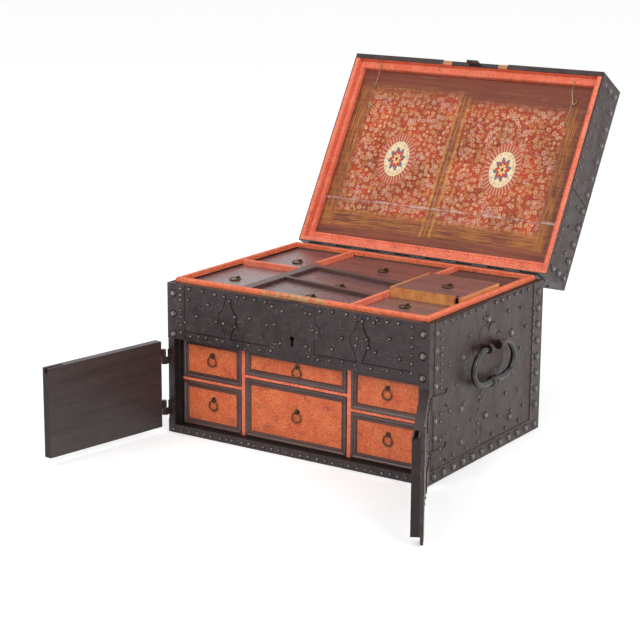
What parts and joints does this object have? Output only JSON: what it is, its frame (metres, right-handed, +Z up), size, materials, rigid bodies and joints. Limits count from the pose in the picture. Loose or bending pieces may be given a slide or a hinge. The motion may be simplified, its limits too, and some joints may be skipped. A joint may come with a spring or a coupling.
{
  "type": "iron-bound strongbox",
  "caption": "Iron-clad wooden travelling strongbox with hinged lid, front doors, drawers, lidded compartments, lift-out tills and side handles.",
  "frame": {"origin": "middle of the underside of the box body", "axes": "+X to the right seen from the front, +Y to the back, where the lid opens, +Z up"},
  "size_m": [0.6759, 0.9066, 0.5886],
  "materials": {
    "iron_plate": "aged black iron plate, waxed, lightly pitted",
    "iron_fitting": "forged iron, dark and rubbed bright on the edges",
    "oak": "old oak, dark and dry",
    "dark_wood": "dark stained wood, scratched",
    "orange_paint": "old vermilion paint on wood, mottled",
    "maroon_lid": "wood with dark red-brown varnish",
    "light_wood": "bare softwood",
    "painted_panel": "red and gold patterned paper, varnished",
    "ring_brass": "dark patinated brass"
  },
  "bodies": {
    "root": {"base_board": "oak", "side_boards": "oak", "back_board": "oak", "fascia_board": "oak", "shelf_board": "oak", "shell_plates": "iron_plate", "front_plates": "iron_plate", "rim_lip": "orange_paint", "painted_partitions": "orange_paint", "plain_partitions": "dark_wood", "drawer_frame": "dark_wood", "lock_case": "iron_fitting", "door_pins": "iron_fitting", "handle_lugs": "iron_fitting", "lid_hinge_body_leaf": "iron_fitting", "body_studs": "iron_fitting"},
    "lock_bolt": {"lock_bolt": "iron_fitting"},
    "lid": {"lid_boards": "orange_paint", "lid_plates": "iron_plate", "lid_lining": "orange_paint", "lid_strike": "iron_fitting", "lid_hinge_lid_leaf": "iron_fitting", "lid_studs": "iron_fitting"},
    "document_flap": {"document_flap": "painted_panel"},
    "catch_left": {"catch_left": "iron_fitting"},
    "catch_right": {"catch_right": "iron_fitting"},
    "door_left": {"door_left_board": "dark_wood", "door_left_iron": "iron_plate"},
    "door_right": {"door_right_board": "dark_wood", "door_right_iron": "iron_plate"},
    "handle_left": {"handle_left": "iron_fitting"},
    "handle_right": {"handle_right": "iron_fitting"},
    "till_middle": {"till_middle": "dark_wood"},
    "till_right": {"till_right": "light_wood"},
    "drawer_upper_left": {"drawer_upper_left": "orange_paint"},
    "ring_upper_left": {"ring_upper_left": "ring_brass"},
    "drawer_lower_left": {"drawer_lower_left": "orange_paint"},
    "ring_lower_left": {"ring_lower_left": "ring_brass"},
    "drawer_upper_middle": {"drawer_upper_middle": "orange_paint"},
    "ring_upper_middle": {"ring_upper_middle": "ring_brass"},
    "drawer_lower_middle": {"drawer_lower_middle": "orange_paint"},
    "ring_lower_middle": {"ring_lower_middle": "ring_brass"},
    "drawer_upper_right": {"drawer_upper_right": "orange_paint"},
    "ring_upper_right": {"ring_upper_right": "ring_brass"},
    "drawer_lower_right": {"drawer_lower_right": "orange_paint"},
    "ring_lower_right": {"ring_lower_right": "ring_brass"},
    "lid_front_left": {"lid_front_left": "maroon_lid"},
    "ring_front_left": {"ring_front_left": "ring_brass"},
    "lid_back_left": {"lid_back_left": "maroon_lid"},
    "ring_back_left": {"ring_back_left": "ring_brass"},
    "lid_back_middle": {"lid_back_middle": "maroon_lid"},
    "ring_back_middle": {"ring_back_middle": "ring_brass"},
    "lid_front_right": {"lid_front_right": "maroon_lid"},
    "ring_front_right": {"ring_front_right": "ring_brass"},
    "lid_middle_front": {"lid_middle_front": "maroon_lid"},
    "ring_middle_front": {"ring_middle_front": "ring_brass"},
    "lid_middle_back": {"lid_middle_back": "maroon_lid"},
    "ring_middle_back": {"ring_middle_back": "ring_brass"},
    "lid_right": {"lid_right": "maroon_lid"},
    "ring_right": {"ring_right": "ring_brass"}
  },
  "joints": [
    {"name": "lid_hinge", "type": "hinge", "parent": "root", "child": "lid", "pos_m": [0, 0.1946, 0.257], "axis": [-1, 0, 0], "range_deg": [-121, 0]},
    {"name": "door_left_hinge", "type": "hinge", "parent": "root", "child": "door_left", "pos_m": [-0.256, -0.1916, 0.086], "axis": [0, 0, -1], "range_deg": [-100, 70]},
    {"name": "door_right_hinge", "type": "hinge", "parent": "root", "child": "door_right", "pos_m": [0.256, -0.1916, 0.086], "axis": [0, 0, 1], "range_deg": [-117.5, 52.5]},
    {"name": "lock_bolt_slide", "type": "slide", "parent": "root", "child": "lock_bolt", "axis": [0, 0, 1], "range_m": [-0.008, 0]},
    {"name": "handle_left_swing", "type": "hinge", "parent": "root", "child": "handle_left", "pos_m": [-0.2625, -0.003, 0.185], "axis": [0, 1, 0], "range_deg": [0, 95]},
    {"name": "handle_right_swing", "type": "hinge", "parent": "root", "child": "handle_right", "pos_m": [0.2625, -0.003, 0.185], "axis": [0, -1, 0], "range_deg": [0, 95]},
    {"name": "till_middle_lift", "type": "slide", "parent": "root", "child": "till_middle", "axis": [0, 0, 1], "range_m": [0, 0.1]},
    {"name": "till_right_lift", "type": "slide", "parent": "root", "child": "till_right", "axis": [0, 0, 1], "range_m": [0, 0.1]},
    {"name": "document_flap_hinge", "type": "hinge", "parent": "lid", "child": "document_flap", "pos_m": [0, 0.26407, 0.3332], "axis": [1, 0, 0], "range_deg": [0, 75]},
    {"name": "catch_left_turn", "type": "hinge", "parent": "document_flap", "child": "catch_left", "pos_m": [-0.197, 0.35803, 0.49211], "axis": [0, 0.8572, -0.515], "range_deg": [0, 35]},
    {"name": "catch_right_turn", "type": "hinge", "parent": "document_flap", "child": "catch_right", "pos_m": [0.197, 0.35803, 0.49211], "axis": [0, -0.8572, 0.515], "range_deg": [0, 35]},
    {"name": "drawer_upper_left_slide", "type": "slide", "parent": "root", "child": "drawer_upper_left", "axis": [0, -1, 0], "range_m": [0, 0.22]},
    {"name": "ring_upper_left_swing", "type": "hinge", "parent": "drawer_upper_left", "child": "ring_upper_left", "pos_m": [-0.172, -0.1712, 0.1385], "axis": [-1, 0, 0], "range_deg": [0, 95]},
    {"name": "drawer_lower_left_slide", "type": "slide", "parent": "root", "child": "drawer_lower_left", "axis": [0, -1, 0], "range_m": [0, 0.22]},
    {"name": "ring_lower_left_swing", "type": "hinge", "parent": "drawer_lower_left", "child": "ring_lower_left", "pos_m": [-0.17, -0.1712, 0.063], "axis": [-1, 0, 0], "range_deg": [0, 95]},
    {"name": "drawer_upper_middle_slide", "type": "slide", "parent": "root", "child": "drawer_upper_middle", "axis": [0, -1, 0], "range_m": [0, 0.22]},
    {"name": "ring_upper_middle_swing", "type": "hinge", "parent": "drawer_upper_middle", "child": "ring_upper_middle", "pos_m": [-0.004, -0.1712, 0.146], "axis": [-1, 0, 0], "range_deg": [0, 95]},
    {"name": "drawer_lower_middle_slide", "type": "slide", "parent": "root", "child": "drawer_lower_middle", "axis": [0, -1, 0], "range_m": [0, 0.22]},
    {"name": "ring_lower_middle_swing", "type": "hinge", "parent": "drawer_lower_middle", "child": "ring_lower_middle", "pos_m": [-0.004, -0.1712, 0.0715], "axis": [-1, 0, 0], "range_deg": [0, 95]},
    {"name": "drawer_upper_right_slide", "type": "slide", "parent": "root", "child": "drawer_upper_right", "axis": [0, -1, 0], "range_m": [0, 0.22]},
    {"name": "ring_upper_right_swing", "type": "hinge", "parent": "drawer_upper_right", "child": "ring_upper_right", "pos_m": [0.1655, -0.1712, 0.1385], "axis": [-1, 0, 0], "range_deg": [0, 95]},
    {"name": "drawer_lower_right_slide", "type": "slide", "parent": "root", "child": "drawer_lower_right", "axis": [0, -1, 0], "range_m": [0, 0.22]},
    {"name": "ring_lower_right_swing", "type": "hinge", "parent": "drawer_lower_right", "child": "ring_lower_right", "pos_m": [0.168, -0.1712, 0.064], "axis": [-1, 0, 0], "range_deg": [0, 95]},
    {"name": "lid_front_left_lift", "type": "slide", "parent": "root", "child": "lid_front_left", "axis": [0, 0, 1], "range_m": [0, 0.05]},
    {"name": "ring_front_left_swing", "type": "hinge", "parent": "lid_front_left", "child": "ring_front_left", "pos_m": [-0.174, -0.093, 0.2577], "axis": [-1, 0, 0], "range_deg": [0, 170]},
    {"name": "lid_back_left_lift", "type": "slide", "parent": "root", "child": "lid_back_left", "axis": [0, 0, 1], "range_m": [0, 0.05]},
    {"name": "ring_back_left_swing", "type": "hinge", "parent": "lid_back_left", "child": "ring_back_left", "pos_m": [-0.163, 0.076, 0.2577], "axis": [-1, 0, 0], "range_deg": [0, 170]},
    {"name": "lid_back_middle_lift", "type": "slide", "parent": "root", "child": "lid_back_middle", "axis": [0, 0, 1], "range_m": [0, 0.05]},
    {"name": "ring_back_middle_swing", "type": "hinge", "parent": "lid_back_middle", "child": "ring_back_middle", "pos_m": [-0.004, 0.101, 0.2577], "axis": [-1, 0, 0], "range_deg": [0, 170]},
    {"name": "lid_front_right_lift", "type": "slide", "parent": "root", "child": "lid_front_right", "axis": [0, 0, 1], "range_m": [0, 0.05]},
    {"name": "ring_front_right_swing", "type": "hinge", "parent": "lid_front_right", "child": "ring_front_right", "pos_m": [0.157, -0.098, 0.2577], "axis": [-1, 0, 0], "range_deg": [0, 170]},
    {"name": "lid_middle_front_lift", "type": "slide", "parent": "till_middle", "child": "lid_middle_front", "axis": [0.0558, 0, 0.9984], "range_m": [0, 0.05]},
    {"name": "ring_middle_front_swing", "type": "hinge", "parent": "lid_middle_front", "child": "ring_middle_front", "pos_m": [-0.00979, -0.114, 0.25327], "axis": [-0.9984, 0, 0.0558], "range_deg": [0, 170]},
    {"name": "lid_middle_back_lift", "type": "slide", "parent": "till_middle", "child": "lid_middle_back", "axis": [0.0558, 0, 0.9984], "range_m": [0, 0.05]},
    {"name": "ring_middle_back_swing", "type": "hinge", "parent": "lid_middle_back", "child": "ring_middle_back", "pos_m": [-0.00979, -0.027, 0.25327], "axis": [-0.9984, 0, 0.0558], "range_deg": [0, 170]},
    {"name": "lid_right_lift", "type": "slide", "parent": "till_right", "child": "lid_right", "axis": [0, 0, 1], "range_m": [0, 0.05]},
    {"name": "ring_right_swing", "type": "hinge", "parent": "lid_right", "child": "ring_right", "pos_m": [0.178, 0, 0.2742], "axis": [-1, 0, 0], "range_deg": [0, 170]}
  ]
}
